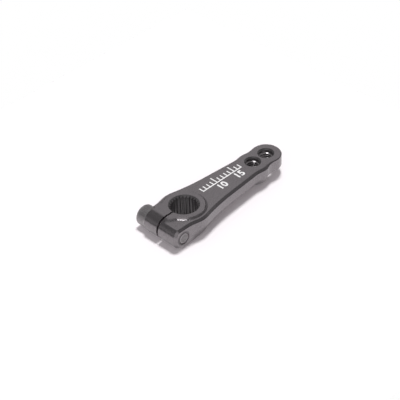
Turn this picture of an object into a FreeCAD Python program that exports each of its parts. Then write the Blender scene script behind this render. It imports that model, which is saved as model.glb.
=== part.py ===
"""Clamping servo horn: a milled arm on a splined hub, closed by a cross screw.

Frame, in millimetres: the origin is the middle of the splined bore, +Z runs up the spline axis,
+X points along the arm to the rod holes, and the clamp screw lies along Y with its head on the +Y
side. The horn rests on the hub's bottom face. Heights below are counted from that face, and the
finished pieces are lowered to the origin as they are written out.
"""
import FreeCAD, Part
import math
import os

# Hub and spline. The undercut is how far the lower hub stands in from the rim at the top; the land and
# root shares are parts of one tooth's pitch
HUB_HEIGHT = 5.3
HUB_TOP_RADIUS = 5.57
HUB_UNDERCUT = 0.92
SPLINE_TEETH = 25
SPLINE_ROOT_RADIUS = 3.02
SPLINE_TIP_RADIUS = 2.76
SPLINE_LAND_SHARE = 0.42
SPLINE_ROOT_SHARE = 0.26
SPLINE_CHAMFER = 0.18

# Raised pad round the spline: a disc, set in from the hub's rim, and a tongue towards the clamp block.
# The tongue's near edge runs at an angle from +X and lies at a share of the disc's radius from the axis
PAD_INSET = 1.35
PAD_STEP = 0.4
PAD_COVE_RADIUS = 0.6
TONGUE_ANGLE = 150.5
TONGUE_REACH_SHARE = 0.848
TONGUE_BLEND_RADIUS = 1.5
TONGUE_RUN = 5.0

# Arm: its sides taper in a straight line through two stations. The half width at the end is a share of
# the rod lobe's radius; at the start it is a share of the way from there to the hub's radius
ARM_THICKNESS = 2.6
TAPER_START_X = 9.0
TAPER_END_X = 16.0
TAPER_START_SHARE = 0.286
TAPER_END_SHARE = 0.977
ARM_ROOT_RADIUS = 46.0
ARM_WAIST_RADIUS = 7.0
EDGE_CHAMFER = 0.5
UNDER_CHAMFER = 0.2

# Rod holes, the two lobes round them, the tip's wall with its small dips, and the boss underneath
ROD_HOLE_INNER_X = 20.0
ROD_HOLE_PITCH = 4.0
ROD_THREAD_RADIUS = 1.5
ROD_HOLE_CHAMFER = 0.27
ROD_LOBE_RADIUS = 3.62
ROD_DIP_RADIUS = 6.0
TIP_WALL_RADIUS = 3.3
TIP_DIP_RADIUS = 4.0
TIP_DIP_BITE = 0.03
BOSS_RADIUS = 2.95
BOSS_TOP_RADIUS = 3.4
BOSS_DROP = 1.3

# Clamp block: two ears with a round nose, either side of the slit, set in from the hub's radius
CLAMP_NOSE_RADIUS = 2.65
CLAMP_NOSE_X = -5.0
CLAMP_HEAD_SIDE_INSET = 1.42
CLAMP_THREAD_SIDE_INSET = 0.57
CLAMP_BACK_X = -2.6
CLAMP_BLEND_RADIUS = 8.0
SHOULDER_END_X = -4.2
SLIT_WIDTH = 0.5

# Clamp screw
SCREW_RADIUS = 1.25
SCREW_CLEARANCE = 0.1
SCREW_THREAD_PLAY = 0.02
SCREW_Z = 2.3
SCREW_HEAD_RADIUS = 2.25
SCREW_HEAD_LENGTH = 2.65
SCREW_SEAT_RADIUS = 2.5
SCREW_HEAD_ROUND = 0.6
SCREW_SOCKET_SIDES = 6
SCREW_SOCKET_ACROSS_FLATS = 2.0
SCREW_SOCKET_DEPTH = 1.2
SCREW_END_RECESS = 0.12
SCREW_END_CHAMFER = 0.2

# Worked out from the sizes above
ARM_TOP = HUB_HEIGHT - PAD_STEP
ARM_BOTTOM = ARM_TOP - ARM_THICKNESS
BOSS_BOTTOM = ARM_BOTTOM - BOSS_DROP
HUB_BOTTOM_RADIUS = HUB_TOP_RADIUS - HUB_UNDERCUT
PAD_RADIUS = HUB_TOP_RADIUS - PAD_INSET
TAPER_END_Y = TAPER_END_SHARE * ROD_LOBE_RADIUS
TAPER_START_Y = TAPER_END_Y + TAPER_START_SHARE * (HUB_TOP_RADIUS - TAPER_END_Y)
ROD_HOLE_OUTER_X = ROD_HOLE_INNER_X + ROD_HOLE_PITCH
CLAMP_HEAD_SIDE_Y = HUB_TOP_RADIUS - CLAMP_HEAD_SIDE_INSET
CLAMP_THREAD_SIDE_Y = CLAMP_THREAD_SIDE_INSET - HUB_TOP_RADIUS
NOSE_Z = HUB_HEIGHT / 2

# For the cutters: overrun past a face, a length past everything on one side, and a tolerance
CLEAR = 1.0
REACH = 20.0
TINY = 1e-6

ALONG_Y = FreeCAD.Vector(0, 1, 0)


def at(x, y, z=0.0):
    return FreeCAD.Vector(x, y, z)


def polar(radius, angle):
    return at(radius * math.cos(angle), radius * math.sin(angle))


def extrude(edges, bottom, top):
    """Solid prism over a closed plan outline, between two heights."""
    wire = Part.Wire(edges)
    wire.translate(at(0, 0, bottom))
    return Part.Face(wire).extrude(at(0, 0, top - bottom))


def polygon(points):
    corners = list(points) + [points[0]]
    return [line(a, b) for a, b in zip(corners, corners[1:])]


def line(start, end):
    return Part.LineSegment(start, end).toShape()


def arc(start, middle, end):
    return Part.Arc(start, middle, end).toShape()


def chamfer_edges(shape, size, wanted):
    """Chamfer the edges of the shape for which the test is true."""
    return shape.makeChamfer(size, [edge for edge in shape.Edges if wanted(edge)])


def lies_at(edge, height):
    return abs(edge.BoundBox.ZMin - height) < TINY and abs(edge.BoundBox.ZMax - height) < TINY


def towards(start, goal, distance):
    return start + (goal - start).normalize() * distance


def point_at_distance(start, forward, centre, distance, later=False):
    """First or later point along a line that lies at the distance from the centre."""
    offset = start - centre
    middle = -offset.dot(forward)
    half_chord = math.sqrt(middle ** 2 - offset.Length ** 2 + distance ** 2)
    return start + forward * (middle + half_chord if later else middle - half_chord)


def tangent_point(start, radius, turn):
    """Where a line from the start touches a circle round the origin; the turn (1 or -1) picks the side."""
    return polar(radius, math.atan2(start.y, start.x) + turn * math.acos(radius / start.Length))


def arc_between(start, end, centre, radius):
    """Shorter arc between two points of a circle."""
    return arc(start, towards(centre, (start + end) * 0.5, radius), end)


def flank(side):
    """Tangent lines and arcs along one side (1 or -1 in Y), from the clamp block to the tip."""
    hub = at(0, 0)
    inner = at(ROD_HOLE_INNER_X, 0)
    outer = at(ROD_HOLE_OUTER_X, 0)
    taper_start = at(TAPER_START_X, side * TAPER_START_Y)
    taper = (at(TAPER_END_X, side * TAPER_END_Y) - taper_start).normalize()
    outwards = at(-taper.y, taper.x) * side
    ear_y = side * -CLAMP_THREAD_SIDE_Y

    blend = point_at_distance(at(0, ear_y + side * CLAMP_BLEND_RADIUS), at(-1, 0),
                              hub, HUB_TOP_RADIUS + CLAMP_BLEND_RADIUS, later=True)
    root = point_at_distance(taper_start + outwards * ARM_ROOT_RADIUS, taper,
                             hub, HUB_TOP_RADIUS + ARM_ROOT_RADIUS, later=True)
    waist = point_at_distance(taper_start + outwards * ARM_WAIST_RADIUS, taper,
                              inner, ROD_LOBE_RADIUS + ARM_WAIST_RADIUS)
    dip = point_at_distance((inner + outer) * 0.5, at(0, side),
                            inner, ROD_LOBE_RADIUS + ROD_DIP_RADIUS, later=True)

    shoulder = at(SHOULDER_END_X, ear_y)
    ear_end = at(blend.x, ear_y)
    hub_start = towards(hub, blend, HUB_TOP_RADIUS)
    hub_end = towards(hub, root, HUB_TOP_RADIUS)
    taper_from = root - outwards * ARM_ROOT_RADIUS
    taper_to = waist - outwards * ARM_WAIST_RADIUS
    lobe_start = towards(inner, waist, ROD_LOBE_RADIUS)
    lobe_end = towards(inner, dip, ROD_LOBE_RADIUS)
    tip_start = towards(outer, dip, ROD_LOBE_RADIUS)
    edges = [
        line(shoulder, ear_end),
        arc_between(ear_end, hub_start, blend, CLAMP_BLEND_RADIUS),
        arc_between(hub_start, hub_end, hub, HUB_TOP_RADIUS),
        arc_between(hub_end, taper_from, root, ARM_ROOT_RADIUS),
        line(taper_from, taper_to),
        arc_between(taper_to, lobe_start, waist, ARM_WAIST_RADIUS),
        arc_between(lobe_start, lobe_end, inner, ROD_LOBE_RADIUS),
        arc_between(lobe_end, tip_start, dip, ROD_DIP_RADIUS),
    ]
    return shoulder, edges, tip_start


def plate():
    """Arm and top of the hub as one flat plate with a chamfered rim, open towards the clamp block."""
    right_shoulder, right_edges, right_tip = flank(-1)
    left_shoulder, left_edges, left_tip = flank(1)
    tip = arc(right_tip, at(ROD_HOLE_OUTER_X + ROD_LOBE_RADIUS, 0), left_tip)
    back = line(left_shoulder, right_shoulder)
    solid = extrude(Part.__sortEdges__(right_edges + [tip] + left_edges + [back]), ARM_BOTTOM, ARM_TOP)

    def is_rim(height):
        return lambda edge: lies_at(edge, height) and edge.BoundBox.XMax > SHOULDER_END_X + TINY

    solid = chamfer_edges(solid, EDGE_CHAMFER, is_rim(ARM_TOP))
    solid = chamfer_edges(solid, UNDER_CHAMFER, is_rim(ARM_BOTTOM))
    return solid.cut(tip_trim())


def tip_trim():
    """Cutters that draw the wall of the outer lobe in, so that the chamfer is narrower round the tip."""
    from_inner = ROD_LOBE_RADIUS + TIP_DIP_RADIUS - TIP_DIP_BITE
    from_outer = TIP_WALL_RADIUS + TIP_DIP_RADIUS
    along = (from_inner ** 2 - from_outer ** 2 + ROD_HOLE_PITCH ** 2) / (2 * ROD_HOLE_PITCH)
    dip = at(ROD_HOLE_INNER_X + along, math.sqrt(from_inner ** 2 - along ** 2))
    outer = at(ROD_HOLE_OUTER_X, 0)
    height = ARM_TOP - ARM_BOTTOM + CLEAR
    keep = Part.makeCylinder(TIP_WALL_RADIUS, height, outer + at(0, 0, ARM_BOTTOM))
    touch = towards(outer, dip, TIP_WALL_RADIUS)
    beyond = Part.makeBox(REACH, REACH, height, at(touch.x, -REACH / 2, ARM_BOTTOM))
    cutters = [beyond.cut(keep)]
    for side in (-1, 1):
        cutters.append(Part.makeCylinder(TIP_DIP_RADIUS, height, at(dip.x, side * dip.y, ARM_BOTTOM)))
    return cutters


def nose(y_start, y_end):
    """Round front of the clamp block between two stations along the screw."""
    return Part.makeCylinder(CLAMP_NOSE_RADIUS, abs(y_end - y_start), at(CLAMP_NOSE_X, y_start, NOSE_Z),
                             ALONG_Y * math.copysign(1, y_end - y_start))


def clamp_ear(y_outer, top):
    """Round-nosed ear from the slit to its outer face, chamfered round the nose and along the top."""
    length = abs(y_outer)
    side = math.copysign(1, y_outer)

    def is_outer_rim(edge):
        return edge.BoundBox.YLength < TINY and abs(edge.BoundBox.YMin - y_outer) < TINY

    front = chamfer_edges(nose(0, y_outer), EDGE_CHAMFER, is_outer_rim)
    back = Part.makeBox(CLAMP_BACK_X - CLAMP_NOSE_X, length, top, at(CLAMP_NOSE_X, min(0, y_outer), 0))
    limits = Part.makeBox(REACH, length, top, at(CLAMP_BACK_X - REACH, min(0, y_outer), 0))
    ear = front.fuse(back).common(limits)
    for height, inwards in ((top, -1), (0, 1)):
        wedge = Part.Face(Part.Wire(polygon([
            at(CLAMP_BACK_X, y_outer, height),
            at(CLAMP_BACK_X, y_outer - side * EDGE_CHAMFER, height),
            at(CLAMP_BACK_X, y_outer, height + inwards * EDGE_CHAMFER),
        ]))).extrude(at(-REACH, 0, 0))
        ear = ear.cut(wedge)
    return ear.removeSplitter()


def hub():
    """Lower hub, with a flat that runs off it to the threaded ear, both chamfered at the bottom."""
    corner = at(CLAMP_BACK_X, CLAMP_THREAD_SIDE_Y)
    touch = tangent_point(corner, HUB_BOTTOM_RADIUS, 1)
    beyond = corner * 2 - touch

    def is_outer_foot(edge):
        box = edge.BoundBox
        return lies_at(edge, 0) and box.YMin < touch.y - TINY and box.YMax < -TINY and box.XMax > CLAMP_BACK_X

    flat = extrude(polygon([at(0, 0), at(beyond.x, 0), beyond, touch]), 0, ARM_TOP - EDGE_CHAMFER)
    flat = chamfer_edges(flat, EDGE_CHAMFER, is_outer_foot)
    flat = flat.common(Part.makeBox(REACH, REACH, REACH, at(CLAMP_BACK_X, -REACH, 0)))
    drum = Part.makeCylinder(HUB_BOTTOM_RADIUS, ARM_TOP)
    drum = chamfer_edges(drum, EDGE_CHAMFER, lambda edge: lies_at(edge, 0))
    return drum.fuse(flat)


def pad():
    """Raised disc and tongue with a hollow curve at the foot, left by a round-cornered cutter."""
    hub = at(0, 0)
    forward = polar(1, math.radians(TONGUE_ANGLE))
    aside = at(-forward.y, forward.x)
    tongue_start = aside * PAD_RADIUS * TONGUE_REACH_SHARE
    blend = point_at_distance(tongue_start + aside * TONGUE_BLEND_RADIUS, forward,
                              hub, PAD_RADIUS + TONGUE_BLEND_RADIUS, later=True)
    disc_end = towards(hub, blend, PAD_RADIUS)
    tongue_from = blend - aside * TONGUE_BLEND_RADIUS
    tongue_to = tongue_from + forward * TONGUE_RUN
    head_corner = at(CLAMP_BACK_X, CLAMP_HEAD_SIDE_Y - EDGE_CHAMFER)
    disc_start = tangent_point(head_corner, PAD_RADIUS, -1)
    head_side = head_corner - disc_start
    head_to = disc_start + head_side * ((tongue_to.x - disc_start.x) / head_side.x)
    outline = [
        line(head_to, disc_start),
        arc(disc_start, at(PAD_RADIUS, 0), disc_end),
        arc_between(disc_end, tongue_from, blend, TONGUE_BLEND_RADIUS),
        line(tongue_from, tongue_to),
        line(tongue_to, head_to),
    ]
    above = HUB_HEIGHT + CLEAR
    cutter = Part.makeBox(2 * REACH, 2 * REACH, above - ARM_TOP, at(-REACH, -REACH, ARM_TOP))
    cutter = cutter.cut(extrude(outline, ARM_TOP - CLEAR, above + CLEAR))

    def is_foot(edge):
        box = edge.BoundBox
        beside_pad = box.XMin > tongue_to.x - TINY and box.XMax < PAD_RADIUS + CLEAR
        return lies_at(edge, ARM_TOP) and beside_pad and box.XLength > TINY

    cutter = cutter.makeFillet(PAD_COVE_RADIUS, [edge for edge in cutter.Edges if is_foot(edge)])
    half = HUB_TOP_RADIUS - EDGE_CHAMFER
    left = CLAMP_NOSE_X - CLAMP_NOSE_RADIUS
    blank = Part.makeBox(half - left, 2 * half, PAD_STEP, at(left, -half, ARM_TOP))
    rounded = Part.makeBox(REACH, 2 * half, HUB_HEIGHT, at(CLAMP_NOSE_X, -half, 0)).fuse(nose(half, -half))
    over_hub = Part.makeBox(REACH, 2 * half, REACH, at(CLAMP_BACK_X, -half, 0))
    over_ears = Part.makeBox(REACH, half + head_corner.y, REACH, at(CLAMP_BACK_X - REACH, -half, 0))
    return blank.cut(cutter).common(rounded).common(over_hub.fuse(over_ears))


def spline_cutter():
    """Toothed core that leaves the spline in the bore, with a lead-in chamfer at both ends."""
    pitch = 2 * math.pi / SPLINE_TEETH
    land = pitch * SPLINE_LAND_SHARE
    root = pitch * SPLINE_ROOT_SHARE
    slope = (pitch - land - root) / 2
    edges = []
    for tooth in range(SPLINE_TEETH):
        start = tooth * pitch
        corners = [
            (SPLINE_TIP_RADIUS, start - land / 2),
            (SPLINE_TIP_RADIUS, start + land / 2),
            (SPLINE_ROOT_RADIUS, start + land / 2 + slope),
            (SPLINE_ROOT_RADIUS, start + land / 2 + slope + root),
            (SPLINE_TIP_RADIUS, start + pitch - land / 2),
        ]
        a, b, c, d, e = [polar(radius, angle) for radius, angle in corners]
        edges.append(arc(a, polar(SPLINE_TIP_RADIUS, start), b))
        edges.append(line(b, c))
        edges.append(arc(c, polar(SPLINE_ROOT_RADIUS, start + pitch / 2), d))
        edges.append(line(d, e))
    core = extrude(Part.__sortEdges__(edges), -CLEAR, HUB_HEIGHT + CLEAR)
    mouth = SPLINE_ROOT_RADIUS + SPLINE_CHAMFER
    depth = mouth - SPLINE_TIP_RADIUS
    top_cone = Part.makeCone(SPLINE_TIP_RADIUS, mouth, depth, at(0, 0, HUB_HEIGHT - depth))
    bottom_cone = Part.makeCone(mouth, SPLINE_TIP_RADIUS, depth, at(0, 0, 0))
    return core.fuse([top_cone, bottom_cone])


def rod_hole_cutter(x):
    """Tapped hole drawn at its thread's full diameter, chamfered at the top."""
    depth = ARM_TOP - BOSS_BOTTOM + 2 * CLEAR
    hole = Part.makeCylinder(ROD_THREAD_RADIUS, depth, at(x, 0, BOSS_BOTTOM - CLEAR))
    mouth = ROD_THREAD_RADIUS + ROD_HOLE_CHAMFER
    cone = Part.makeCone(ROD_THREAD_RADIUS, mouth, ROD_HOLE_CHAMFER, at(x, 0, ARM_TOP - ROD_HOLE_CHAMFER))
    return hole.fuse(cone)


def screw_cylinder(radius, y_start, y_end):
    """Cylinder on the clamp screw's axis."""
    return Part.makeCylinder(radius, y_end - y_start, at(CLAMP_NOSE_X, y_start, SCREW_Z), ALONG_Y)


def screw_cutters():
    """Clearance hole in the head-side ear, threaded hole in the other, and room for the head."""
    outside = CLAMP_THREAD_SIDE_Y - CLEAR
    return [
        screw_cylinder(SCREW_RADIUS + SCREW_CLEARANCE, 0, CLAMP_HEAD_SIDE_Y + CLEAR),
        screw_cylinder(SCREW_RADIUS + SCREW_THREAD_PLAY, outside, 0),
        screw_cylinder(SCREW_SEAT_RADIUS, CLAMP_HEAD_SIDE_Y, REACH),
    ]


def horn_body():
    boss = Part.makeCone(BOSS_RADIUS, BOSS_TOP_RADIUS, BOSS_DROP, at(ROD_HOLE_INNER_X, 0, BOSS_BOTTOM))
    thread_ear = clamp_ear(CLAMP_THREAD_SIDE_Y, ARM_TOP)
    head_ear = clamp_ear(CLAMP_HEAD_SIDE_Y, HUB_HEIGHT)
    slit = Part.makeBox(REACH, SLIT_WIDTH, HUB_HEIGHT + 2 * CLEAR, at(-REACH, -SLIT_WIDTH / 2, -CLEAR))
    solid = plate().fuse([hub(), boss, thread_ear, head_ear, pad()])
    cutters = [spline_cutter(), slit]
    cutters.append(rod_hole_cutter(ROD_HOLE_INNER_X))
    cutters.append(rod_hole_cutter(ROD_HOLE_OUTER_X))
    cutters.extend(screw_cutters())
    return solid.cut(cutters).removeSplitter()


def clamp_screw():
    """Socket cap screw: head on the +Y ear, end inside the tapped -Y ear."""
    start = CLAMP_THREAD_SIDE_Y + SCREW_END_RECESS
    outer = CLAMP_HEAD_SIDE_Y + SCREW_HEAD_LENGTH
    shank = screw_cylinder(SCREW_RADIUS, start, CLAMP_HEAD_SIDE_Y)
    shank = chamfer_edges(shank, SCREW_END_CHAMFER, lambda edge: abs(edge.BoundBox.YMax - start) < TINY)
    head = screw_cylinder(SCREW_HEAD_RADIUS, CLAMP_HEAD_SIDE_Y, outer)
    rim = [edge for edge in head.Edges if abs(edge.BoundBox.YMin - outer) < TINY]
    head = head.makeFillet(SCREW_HEAD_ROUND, rim)
    corners = []
    for corner in range(SCREW_SOCKET_SIDES):
        spot = polar(SCREW_SOCKET_ACROSS_FLATS / 2 / math.cos(math.pi / SCREW_SOCKET_SIDES),
                     corner * 2 * math.pi / SCREW_SOCKET_SIDES)
        corners.append(at(CLAMP_NOSE_X + spot.x, outer - SCREW_SOCKET_DEPTH, SCREW_Z + spot.y))
    socket = Part.Face(Part.Wire(polygon(corners))).extrude(at(0, SCREW_SOCKET_DEPTH + CLEAR, 0))
    return shank.fuse(head).cut(socket).removeSplitter()


os.makedirs("parts", exist_ok=True)
for name, shape in (("horn_body", horn_body()), ("clamp_screw", clamp_screw())):
    shape.translate(at(0, 0, -HUB_HEIGHT / 2))
    shape.exportStep(f"parts/{name}.step")
    print(name, "solids", len(shape.Solids), "valid", shape.isValid(), "volume", round(shape.Volume, 2))
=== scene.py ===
"""Looks of the clamping servo horn: materials, rod-hole threads, scale marks, table, light and camera."""

import math

import bpy
from mathutils import Matrix, Vector


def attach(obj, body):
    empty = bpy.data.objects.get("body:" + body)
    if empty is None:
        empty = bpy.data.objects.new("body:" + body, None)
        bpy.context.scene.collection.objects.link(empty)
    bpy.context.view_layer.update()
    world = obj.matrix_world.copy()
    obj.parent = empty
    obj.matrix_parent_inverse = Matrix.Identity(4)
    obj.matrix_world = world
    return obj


MM = 0.001
WHITE = (1.0, 1.0, 1.0, 1.0)

# Sizes from part.py, in millimetres, with heights counted from the middle of the hub
HUB_HEIGHT = 5.3
PAD_STEP = 0.4
ARM_THICKNESS = 2.6
BOSS_DROP = 1.3
HUB_TOP = HUB_HEIGHT / 2
FLOOR_Z = -HUB_TOP
ARM_TOP = HUB_TOP - PAD_STEP
ARM_BOTTOM = ARM_TOP - ARM_THICKNESS
BOSS_BOTTOM = ARM_BOTTOM - BOSS_DROP
ROD_HOLES = (("inner", 20.0, BOSS_BOTTOM), ("outer", 24.0, ARM_BOTTOM))
ROD_THREAD_RADIUS = 1.5
ROD_HOLE_MOUTH = 1.77
BORE_MOUTH = 3.2
SLIT_WIDTH = 0.5
SCREW_X = -5.0
SCREW_ABOVE_FLOOR = 2.3
SCREW_Z = FLOOR_Z + SCREW_ABOVE_FLOOR
SCREW_HEAD_RADIUS = 2.25
SCREW_HEAD_Y = (4.15, 6.8)
SCREW_HOLE_RADIUS = 1.28
NEAR_EAR_Y = -5.0

# Rod-hole threads: metric, 0.5 mm pitch, with the shares of the pitch that the standard profile has.
# The foot lies a little inside the wall; the fade at each end is counted in steps
THREAD_PITCH = 0.5
THREAD_DEPTH = 0.27
THREAD_SINK = 0.01
THREAD_FOOT_SHARE = 0.4375
THREAD_CREST_SHARE = 0.125
THREAD_START = 0.65
THREAD_START_TURN = 3.95
THREAD_STEPS = 72
THREAD_FADE = 24
THREAD_LEAST_RISE = 0.02

# White scale on the arm: a tick at each millimetre from the bore's axis, the longer ones with a numeral
SCALE_TICKS = range(6, 18)
SCALE_NUMERALS = (10, 15)
SCALE_Y = 0.6
TICK_WIDTH = 0.26
TICK_LENGTH = 1.1
LONG_TICK_LENGTH = 1.9
NUMERAL_SIZE = 2.4
NUMERAL_WEIGHT = 0.07
NUMERAL_TOP_Y = 0.2
MARK_LIFT = 0.008

# Colours and finishes. A grain is its noise scale per metre, the share of the bump and the spread of tone
ANODISED_COLOUR = (0.235, 0.222, 0.229)
ANODISED_ROUGHNESS = 0.22
ANODISED_GRAIN = (4500, 0.2, 0.26)
THREAD_GRAIN = (4500, 0.1, 0.05)
THREAD_SHEEN = 0.6
STEEL_COLOUR = (0.35, 0.337, 0.342)
STEEL_ROUGHNESS = 0.4
STEEL_GRAIN = (3000, 0.4, 0.25)
MARK_COLOUR = (0.86, 0.86, 0.86, 1.0)
MARK_GRAIN = 2500
MARK_ROUGHNESS = (0.5, 0.7)

# Grain in general: the part of the noise in use, the wider patches, and the relief in the shading
NOISE_SPAN = (0.3, 0.7)
PATCH_SCALE_SHARE = 0.06
PATCH_SPREAD = 0.03
ROUGHNESS_SPREAD = 0.04
BUMP_DISTANCE = 0.02

# Widths in millimetres over which one tone turns into the next
RIM_EDGE = 0.01
HOLE_EDGE = 0.02
SLIT_EDGE = 0.03
TONE_EDGE = 0.04
SOFT_EDGE = 0.1

# Inside the bore and the rod holes, painted shade and light: share of the colour, and share of the metal
# sheen
BORE_PAINTED_SHADE = (0.46, 0.0)
ROD_MOUTH_PAINTED_SHADE = (0.3, 0.4)
ROD_WALL_PAINTED_LIGHT = (1.6, 1.0)
ROD_WALL_MARGIN = 0.03

# Painted shade and light on the horn body, as shares of its colour: painted shade on a rim on the near
# ear's face, shifted up and outwards from the screw's axis, painted light on the walls of the screw hole
# and the slit, and painted shade in the bore's mouth. Depths are counted from the ear's face or the hub's
# top
RIM_SHIFT = 0.2
RIM_RADIUS = 1.35
RIM_FADE = 0.4
RIM_DEPTH = 0.04
RIM_PAINTED_SHADE = 0.45
HOLE_DEPTH = 0.4
HOLE_PAINTED_LIGHT = 2.6
SLIT_PAINTED_LIGHT = 2.5
MOUTH_DEPTH = 0.9
MOUTH_PAINTED_SHADE = 0.5

# Clamp screw: knurl in the skin of the head's side, with painted shade in its grooves, between a plain
# band beside the ear and one at the outer end, and a darker middle on the end that lies in the near ear
KNURL_LINES = 36
KNURL_DEPTH = 0.04
KNURL_GROOVE_PAINTED_SHADE = 0.7
KNURL_SKIN = 0.06
KNURL_FROM_EAR = 0.3
KNURL_FROM_END = 0.7
SCREW_RIM_RADIUS = 0.85
SCREW_END_SHADE = 0.55
SCREW_END_FADE = 1.0

# Camera, as fitted to the photograph; it aims at the middle of the bore's top edge, then slides aside
CAMERA_AZIMUTH = -43.7
CAMERA_ELEVATION = 38.2
CAMERA_ROLL = -2.5
CAMERA_DISTANCE = 278.7
CAMERA_ASIDE = (3.18, 0.88)
CAMERA_CLIP = (10, 100000)
FOCAL_PIXELS = 1400
FRAME_PIXELS = 400
SENSOR = 36.0

# Light: the room's level by the height of the direction, a panel behind the part, a broad fill from the
# camera's side, and two lamps, each with its strength, its spread in degrees and the way to it.
# The shadow lamp casts the shadow on the table; the gleam lamp is only seen as a gleam in the metal
ROOM_COLOUR = (1.0, 0.97, 0.99, 1.0)
ROOM_LEVELS = ((0.0, 0.24), (0.14, 0.24), (0.24, 0.45), (0.36, 0.4), (0.46, 0.24), (1.0, 0.24))
PANEL_WAY = (0.543, 0.568, 0.618)
PANEL_EDGE = (0.955, 0.98)
PANEL_LEVEL = 0.46
FILL_WAY = (-0.78, -0.42, 0.46)
FILL_EDGE = (0.75, 0.95)
FILL_LEVEL = 0.8
SHADOW_LAMP = (2.35, 14, (0.17, 0.08, 0.98))
GLEAM_LAMP = (1.0, 17, (-0.075, 0.06, 0.997))

# Table: its paint, the glow that keeps its shadow pale, and the even light that replaces a share of it
# where it shows in the metal
TABLE_SIZE = 120
TABLE_COLOUR = (0.93, 0.9, 0.915, 1.0)
GLOW_COLOUR = (1.0, 0.84, 0.92, 1.0)
GLOW_LEVEL = 0.045
EVEN_COLOUR = (1.0, 0.96, 0.98, 1.0)
EVEN_LEVEL = 1.0
EVEN_SHARE = 0.35


def new_mesh(name, vertices, faces, smooth=True):
    """Mesh object from points in millimetres."""
    mesh = bpy.data.meshes.new(name)
    mesh.from_pydata([tuple(c * MM for c in v) for v in vertices], [], faces)
    mesh.validate()
    for polygon in mesh.polygons:
        polygon.use_smooth = smooth
    obj = bpy.data.objects.new(name, mesh)
    bpy.context.collection.objects.link(obj)
    return obj


class Nodes:
    """Short way to add and join the nodes of one material or world."""

    def __init__(self, owner):
        owner.use_nodes = True
        self.tree = owner.node_tree
        self.tree.nodes.clear()

    def add(self, kind, inputs=None, **settings):
        node = self.tree.nodes.new(kind)
        for key, value in settings.items():
            setattr(node, key, value)
        for key, value in (inputs or {}).items():
            if isinstance(value, bpy.types.NodeSocket):
                self.tree.links.new(value, node.inputs[key])
            else:
                node.inputs[key].default_value = value
        return node

    def math(self, operation, a, b=0.0):
        return self.add("ShaderNodeMath", {0: a, 1: b}, operation=operation).outputs[0]

    def product(self, first, *others):
        for other in others:
            first = self.math("MULTIPLY", first, other)
        return first

    def length(self, a, b):
        return self.math("SQRT", self.math("ADD", self.product(a, a), self.product(b, b)))

    def noise(self, vector, scale, detail=2.0, roughness=0.5):
        return self.add("ShaderNodeTexNoise", {"Vector": vector, "Scale": scale, "Detail": detail,
                                               "Roughness": roughness}).outputs["Fac"]

    def remap(self, value, low, high, to_low, to_high):
        return self.add("ShaderNodeMapRange", {"Value": value, "From Min": low, "From Max": high,
                                               "To Min": to_low, "To Max": to_high}).outputs[0]

    def spread(self, noise, middle, margin):
        """Noise as values to either side of a middle."""
        return self.remap(noise, *NOISE_SPAN, middle - margin, middle + margin)

    def step(self, value, edge, width, before, after):
        """Change from one value to another at an edge in millimetres, over a width."""
        return self.remap(value, edge * MM, (edge + width) * MM, before, after)


def metal(name, colour, roughness, grain, sheen=1.0, bores=(), details=None):
    """Metal with a fine blasted grain: bump, and small changes of tone and roughness.

    Bores are (x, radius, tone): holes along Z, inside which the colour and the metal sheen are taken to
    the shares in the tone; a colour share below one is painted shade, above one painted light. Details
    takes the node helper and the place's x, y and z, and gives one more height and shade.
    """
    grain_scale, grain_bump, tone_spread = grain
    material = bpy.data.materials.new(name)
    n = Nodes(material)
    place = n.add("ShaderNodeTexCoord").outputs["Object"]
    x, y, z = n.add("ShaderNodeSeparateXYZ", {0: place}).outputs
    speckle = n.noise(place, grain_scale, detail=3.0, roughness=0.7)
    patches = n.noise(place, grain_scale * PATCH_SCALE_SHARE)
    tone = n.product(n.spread(speckle, 1.0, tone_spread), n.spread(patches, 1.0, PATCH_SPREAD))
    # Painted shade and light inside the holes: colour and sheen taken to the shares in each tone
    for centre, radius, (inner_painted_tone, inner_sheen) in bores:
        distance = n.length(n.math("SUBTRACT", x, centre * MM), y)
        tone = n.product(tone, n.step(distance, radius, TONE_EDGE, inner_painted_tone, 1.0))
        sheen = n.product(sheen, n.step(distance, radius, TONE_EDGE, inner_sheen, 1.0))
    height = n.product(speckle, grain_bump)
    if details:
        more_height, more_shade = details(n, x, y, z)
        height = n.math("ADD", height, more_height)
        tone = n.product(tone, more_shade)
    tinted = n.add("ShaderNodeVectorMath", {0: colour, "Scale": tone}, operation="SCALE").outputs[0]
    normal = n.add("ShaderNodeBump", {"Height": height, "Strength": 1.0,
                                      "Distance": BUMP_DISTANCE * MM}).outputs[0]
    shader = n.add("ShaderNodeBsdfPrincipled", {
        "Base Color": tinted,
        "Metallic": sheen,
        "Roughness": n.spread(speckle, roughness, ROUGHNESS_SPREAD),
        "Normal": normal,
    })
    n.add("ShaderNodeOutputMaterial", {"Surface": shader.outputs[0]})
    return material


def from_screw_axis(n, x, z, shift=0.0):
    """Place relative to the clamp screw's axis, or to a line shifted outwards and up from it."""
    across = n.math("SUBTRACT", x, (SCREW_X - shift) * MM)
    upward = n.math("SUBTRACT", z, (SCREW_Z + shift) * MM)
    return across, upward


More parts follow.
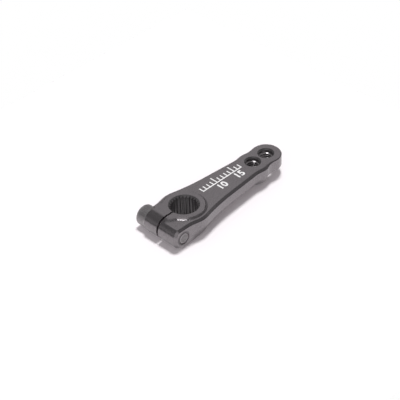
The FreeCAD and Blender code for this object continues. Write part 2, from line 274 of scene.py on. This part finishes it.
def screw_details(n, x, y, z):
    """Knurl along Y round the screw head, painted shade in its grooves, and the darker end in the near ear.
    """
    across, upward = from_screw_axis(n, x, z)
    distance = n.length(across, upward)
    turn = n.math("ARCTAN2", upward, across)
    on_side = n.step(distance, SCREW_HEAD_RADIUS - KNURL_SKIN, TONE_EDGE, 0.0, 1.0)
    from_ear = n.step(y, SCREW_HEAD_Y[0] + KNURL_FROM_EAR, SOFT_EDGE, 0.0, 1.0)
    to_end = n.step(y, SCREW_HEAD_Y[1] - KNURL_FROM_END, SOFT_EDGE, 1.0, 0.0)
    wave = n.math("PINGPONG", n.product(turn, KNURL_LINES / math.pi), 1.0)
    grooves = n.product(n.math("SUBTRACT", wave, 1.0), on_side, from_ear, to_end)
    # Painted shade: the knurl's grooves darker
    groove_painted_shade = n.remap(grooves, -1.0, 0.0, KNURL_GROOVE_PAINTED_SHADE, 1.0)
    end_tone = n.step(distance, SCREW_RIM_RADIUS, SOFT_EDGE, SCREW_END_SHADE, 1.0)
    end_shade = n.step(y, NEAR_EAR_Y, SCREW_END_FADE, end_tone, 1.0)
    return n.product(grooves, KNURL_DEPTH / BUMP_DISTANCE), n.product(groove_painted_shade, end_shade)


def body_details(n, x, y, z):
    """Painted shade: rim at the near ear's hole, bore mouth. Painted light: walls of that hole and the
    slit.
    """
    # Painted shade: a darker rim on the near ear's face round the screw hole
    on_face = n.step(y, NEAR_EAR_Y + RIM_DEPTH, RIM_EDGE, RIM_PAINTED_SHADE, 1.0)
    rim_distance = n.length(*from_screw_axis(n, x, z, RIM_SHIFT))
    rim_painted_shade = n.step(rim_distance, RIM_RADIUS, RIM_FADE, on_face, 1.0)

    # Painted light: paler walls in the near ear's screw hole
    near_face = n.step(y, NEAR_EAR_Y + HOLE_DEPTH, SOFT_EDGE, HOLE_PAINTED_LIGHT, 1.0)
    screw_distance = n.length(*from_screw_axis(n, x, z))
    hole_painted_light = n.step(screw_distance, SCREW_HOLE_RADIUS, HOLE_EDGE, near_face, 1.0)

    # Painted light: paler walls in the slit before the bore
    before_bore = n.step(x, -BORE_MOUTH, SOFT_EDGE, SLIT_PAINTED_LIGHT, 1.0)
    slit_painted_light = n.step(n.math("ABSOLUTE", y), SLIT_WIDTH / 2, SLIT_EDGE, before_bore, 1.0)

    # Painted shade: the bore's mouth darker towards the hub's top
    near_top = n.step(z, HUB_TOP - MOUTH_DEPTH, MOUTH_DEPTH, 1.0, MOUTH_PAINTED_SHADE)
    mouth_painted_shade = n.step(n.length(x, y), BORE_MOUTH, TONE_EDGE, near_top, 1.0)

    return 0.0, n.product(rim_painted_shade, hole_painted_light, slit_painted_light, mouth_painted_shade)


def thread(name, x, bottom, material):
    """Female thread as one ridge that winds down the wall of a rod hole and fades out at both ends."""
    wall = ROD_THREAD_RADIUS + THREAD_SINK
    half_foot = THREAD_FOOT_SHARE * THREAD_PITCH
    half_crest = THREAD_CREST_SHARE * THREAD_PITCH
    profile = ((0.0, -half_foot), (THREAD_DEPTH, -half_crest), (THREAD_DEPTH, half_crest), (0.0, half_foot))
    top = ARM_TOP - THREAD_START - half_foot
    count = int((top - half_foot - bottom) / THREAD_PITCH * THREAD_STEPS)
    vertices = []
    for i in range(count + 1):
        angle = THREAD_START_TURN - 2 * math.pi * i / THREAD_STEPS
        rise = min(1.0, max(THREAD_LEAST_RISE, min(i, count - i) / THREAD_FADE))
        for depth, offset in profile:
            radius = wall - depth * rise
            vertices.append((x + radius * math.cos(angle), radius * math.sin(angle),
                             top - THREAD_PITCH * i / THREAD_STEPS + offset))
    corners = len(profile)
    faces = []
    for i in range(count):
        for k in range(corners):
            a = corners * i + k
            b = corners * i + (k + 1) % corners
            faces.append((a, b, b + corners, a + corners))
    faces.append(tuple(reversed(range(corners))))
    faces.append(tuple(corners * count + k for k in range(corners)))
    obj = new_mesh(name, vertices, faces, smooth=False)
    obj.data.materials.append(material)
    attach(obj, "root")


def scale_ticks():
    """Ticks and base line of the scale, as flat quads."""
    height = ARM_TOP + MARK_LIFT
    vertices = []
    faces = []

    def bar(x_low, x_high, y_low, y_high):
        first = len(vertices)
        vertices.extend([(x_low, y_low, height), (x_high, y_low, height), (x_high, y_high, height),
                         (x_low, y_high, height)])
        faces.append((first, first + 1, first + 2, first + 3))

    bar(SCALE_TICKS[0] - TICK_WIDTH / 2, SCALE_TICKS[-1] + TICK_WIDTH / 2, SCALE_Y - TICK_WIDTH, SCALE_Y)
    for x in SCALE_TICKS:
        length = LONG_TICK_LENGTH if x in SCALE_NUMERALS else TICK_LENGTH
        bar(x - TICK_WIDTH / 2, x + TICK_WIDTH / 2, SCALE_Y, SCALE_Y + length)
    return new_mesh("scale_ticks", vertices, faces, smooth=False)


def scale_numeral(value):
    """One numeral of the scale, as flat mesh, centred under its tick."""
    curve = bpy.data.curves.new(f"numeral_{value}", "FONT")
    curve.body = str(value)
    curve.size = NUMERAL_SIZE * MM
    curve.offset = NUMERAL_WEIGHT * MM
    curve.align_x = "CENTER"
    curve.align_y = "TOP"
    curve.resolution_u = 4
    text = bpy.data.objects.new(curve.name, curve)
    mesh = bpy.data.meshes.new_from_object(text)
    bpy.data.objects.remove(text)
    mesh.transform(Matrix.Translation(Vector((value, NUMERAL_TOP_Y, ARM_TOP + MARK_LIFT)) * MM))
    obj = bpy.data.objects.new(f"scale_numeral_{value}", mesh)
    bpy.context.collection.objects.link(obj)
    return obj


def ink():
    """Matt white print, a little uneven."""
    material = bpy.data.materials.new("white_marking")
    n = Nodes(material)
    place = n.add("ShaderNodeTexCoord").outputs["Object"]
    worn = n.remap(n.noise(place, MARK_GRAIN, detail=3.0), *NOISE_SPAN, *MARK_ROUGHNESS)
    shader = n.add("ShaderNodeBsdfPrincipled", {"Base Color": MARK_COLOUR, "Roughness": worn})
    n.add("ShaderNodeOutputMaterial", {"Surface": shader.outputs[0]})
    return material


def scale(material):
    """White distance scale printed on the arm."""
    for obj in [scale_ticks()] + [scale_numeral(value) for value in SCALE_NUMERALS]:
        obj.data.materials.clear()
        obj.data.materials.append(material)
        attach(obj, "root")


def camera():
    """The photo's camera: turned, raised and rolled, with its focal length given in pixels."""
    azimuth, elevation, roll = (math.radians(a) for a in (CAMERA_AZIMUTH, CAMERA_ELEVATION, CAMERA_ROLL))
    back = Vector((math.sin(azimuth) * math.cos(elevation), -math.cos(azimuth) * math.cos(elevation),
                   math.sin(elevation)))
    level = Vector((math.cos(azimuth), math.sin(azimuth), 0))
    upright = back.cross(level)
    right = level * math.cos(roll) + upright * math.sin(roll)
    up = upright * math.cos(roll) - level * math.sin(roll)
    place = back * CAMERA_DISTANCE + right * CAMERA_ASIDE[0] + up * CAMERA_ASIDE[1]
    place += Vector((0, 0, HUB_TOP))
    data = bpy.data.cameras.new("camera")
    data.sensor_width = SENSOR
    data.lens = SENSOR * FOCAL_PIXELS / FRAME_PIXELS
    data.clip_start = CAMERA_CLIP[0] * MM
    data.clip_end = CAMERA_CLIP[1] * MM
    obj = bpy.data.objects.new("camera", data)
    bpy.context.collection.objects.link(obj)
    axes = Matrix((right, up, back)).transposed()
    obj.matrix_world = Matrix.Translation(place * MM) @ axes.to_4x4()
    bpy.context.scene.camera = obj


def floor():
    """White table. The glow is seen but not cast; in the metal a share of the table is evenly lit."""
    half = TABLE_SIZE / 2
    obj = new_mesh("floor", [(-half, -half, FLOOR_Z), (half, -half, FLOOR_Z), (half, half, FLOOR_Z),
                             (-half, half, FLOOR_Z)], [(0, 1, 2, 3)])
    material = bpy.data.materials.new("table_white")
    n = Nodes(material)
    paint = n.add("ShaderNodeBsdfDiffuse", {"Color": TABLE_COLOUR}).outputs[0]
    glow = n.add("ShaderNodeEmission", {"Color": GLOW_COLOUR, "Strength": GLOW_LEVEL}).outputs[0]
    even = n.add("ShaderNodeEmission", {"Color": EVEN_COLOUR, "Strength": EVEN_LEVEL}).outputs[0]
    both = n.add("ShaderNodeAddShader", {0: paint, 1: glow}).outputs[0]
    rays = n.add("ShaderNodeLightPath").outputs
    in_metal = n.product(rays["Is Glossy Ray"], EVEN_SHARE)
    mixed = n.add("ShaderNodeMixShader", {"Fac": rays["Is Camera Ray"], 1: paint, 2: both}).outputs[0]
    mixed = n.add("ShaderNodeMixShader", {"Fac": in_metal, 1: mixed, 2: even}).outputs[0]
    n.add("ShaderNodeOutputMaterial", {"Surface": mixed})
    obj.data.materials.append(material)


def sky():
    """White to the camera; as light, a band of window near the horizon, a dark room and a soft panel."""
    world = bpy.data.worlds.new("studio")
    bpy.context.scene.world = world
    n = Nodes(world)
    way = n.add("ShaderNodeTexCoord").outputs["Generated"]
    height = n.add("ShaderNodeSeparateXYZ", {0: way}).outputs["Z"]
    ramp = n.add("ShaderNodeValToRGB", {0: height})
    stops = ramp.color_ramp.elements
    stops.remove(stops[1])
    for i, (place, level) in enumerate(ROOM_LEVELS):
        stop = stops.new(place) if i else stops[0]
        stop.position = place
        stop.color = (level, level, level, 1.0)
    room = ramp.outputs[0]
    for centre, edge, level in ((PANEL_WAY, PANEL_EDGE, PANEL_LEVEL), (FILL_WAY, FILL_EDGE, FILL_LEVEL)):
        nearness = n.add("ShaderNodeVectorMath", {0: way, 1: centre}, operation="DOT_PRODUCT")
        room = n.math("ADD", room, n.remap(nearness.outputs["Value"], *edge, 0.0, level))
    seen = n.add("ShaderNodeLightPath").outputs["Is Camera Ray"]
    light = n.add("ShaderNodeBackground", {"Color": ROOM_COLOUR, "Strength": room}).outputs[0]
    white = n.add("ShaderNodeBackground", {"Color": WHITE, "Strength": 1.0}).outputs[0]
    mixed = n.add("ShaderNodeMixShader", {"Fac": seen, 1: light, 2: white}).outputs[0]
    n.add("ShaderNodeOutputWorld", {"Surface": mixed})


def sun(name, strength, spread, way):
    """Soft lamp far away in the given direction."""
    data = bpy.data.lights.new(name, "SUN")
    data.energy = strength
    data.angle = math.radians(spread)
    obj = bpy.data.objects.new(name, data)
    obj.rotation_mode = "QUATERNION"
    obj.rotation_quaternion = Vector(way).to_track_quat("Z", "Y")
    bpy.context.collection.objects.link(obj)
    return obj


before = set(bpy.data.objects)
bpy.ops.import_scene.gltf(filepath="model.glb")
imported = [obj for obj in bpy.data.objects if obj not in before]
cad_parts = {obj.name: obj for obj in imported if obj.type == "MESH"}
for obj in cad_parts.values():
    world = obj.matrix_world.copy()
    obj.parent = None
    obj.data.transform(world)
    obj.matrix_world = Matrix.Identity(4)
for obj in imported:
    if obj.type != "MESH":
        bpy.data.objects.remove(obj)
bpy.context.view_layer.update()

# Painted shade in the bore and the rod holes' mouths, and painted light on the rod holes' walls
bores = [(0.0, BORE_MOUTH, BORE_PAINTED_SHADE)]
for _, x, _ in ROD_HOLES:
    bores += [(x, ROD_HOLE_MOUTH, ROD_MOUTH_PAINTED_SHADE), (x, ROD_THREAD_RADIUS + ROD_WALL_MARGIN, ROD_WALL_PAINTED_LIGHT)]
anodised = metal("anodised_aluminium", ANODISED_COLOUR, ANODISED_ROUGHNESS, ANODISED_GRAIN, bores=bores,
                 details=body_details)
threads = metal("anodised_threads", ANODISED_COLOUR, ANODISED_ROUGHNESS, THREAD_GRAIN, sheen=THREAD_SHEEN)
steel = metal("screw_steel", STEEL_COLOUR, STEEL_ROUGHNESS, STEEL_GRAIN, details=screw_details)
for node, material in (("horn_body", anodised), ("clamp_screw", steel)):
    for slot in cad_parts[node].material_slots:
        slot.material = material

for place, x, bottom in ROD_HOLES:
    thread(f"rod_thread_{place}", x, bottom, threads)
scale(ink())

floor()
sky()
sun("shadow_lamp", *SHADOW_LAMP).visible_glossy = False
sun("gleam_lamp", *GLEAM_LAMP).visible_diffuse = False
camera()
bpy.context.scene.view_settings.view_transform = "Standard"
